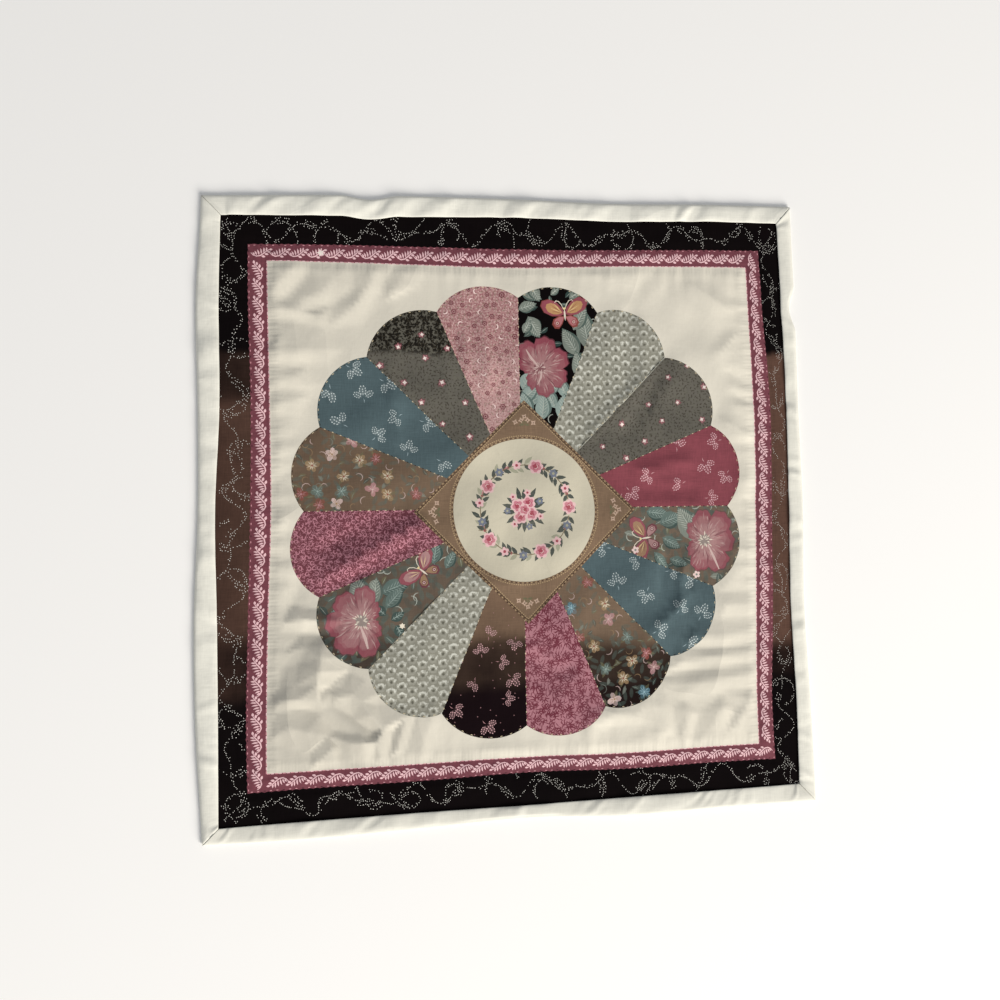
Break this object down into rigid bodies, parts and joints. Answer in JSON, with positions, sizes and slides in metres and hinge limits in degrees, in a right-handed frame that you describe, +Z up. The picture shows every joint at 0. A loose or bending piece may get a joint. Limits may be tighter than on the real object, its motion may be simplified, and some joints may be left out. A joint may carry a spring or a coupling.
{
  "type": "quilted table topper",
  "caption": "Square quilted cloth that lies flat on a table: a printed and wadded panel with a wide folded binding, mitred at its corners.",
  "frame": {"origin": "under the middle of the cloth's outline, on the surface that it lies on", "axes": "+X to the cloth's right side and +Y to its top side, as it is laid out, and +Z up"},
  "size_m": [0.5134, 0.5182, 0.0069],
  "materials": {
    "panel": "printed plain-weave cotton over thin wadding, quilted by hand",
    "binding": "plain off-white cotton, folded and hemmed by hand"
  },
  "bodies": {
    "root": {"quilted_panel": "panel", "binding_top": "binding", "binding_right": "binding", "binding_bottom": "binding", "binding_left": "binding"}
  },
  "joints": []
}
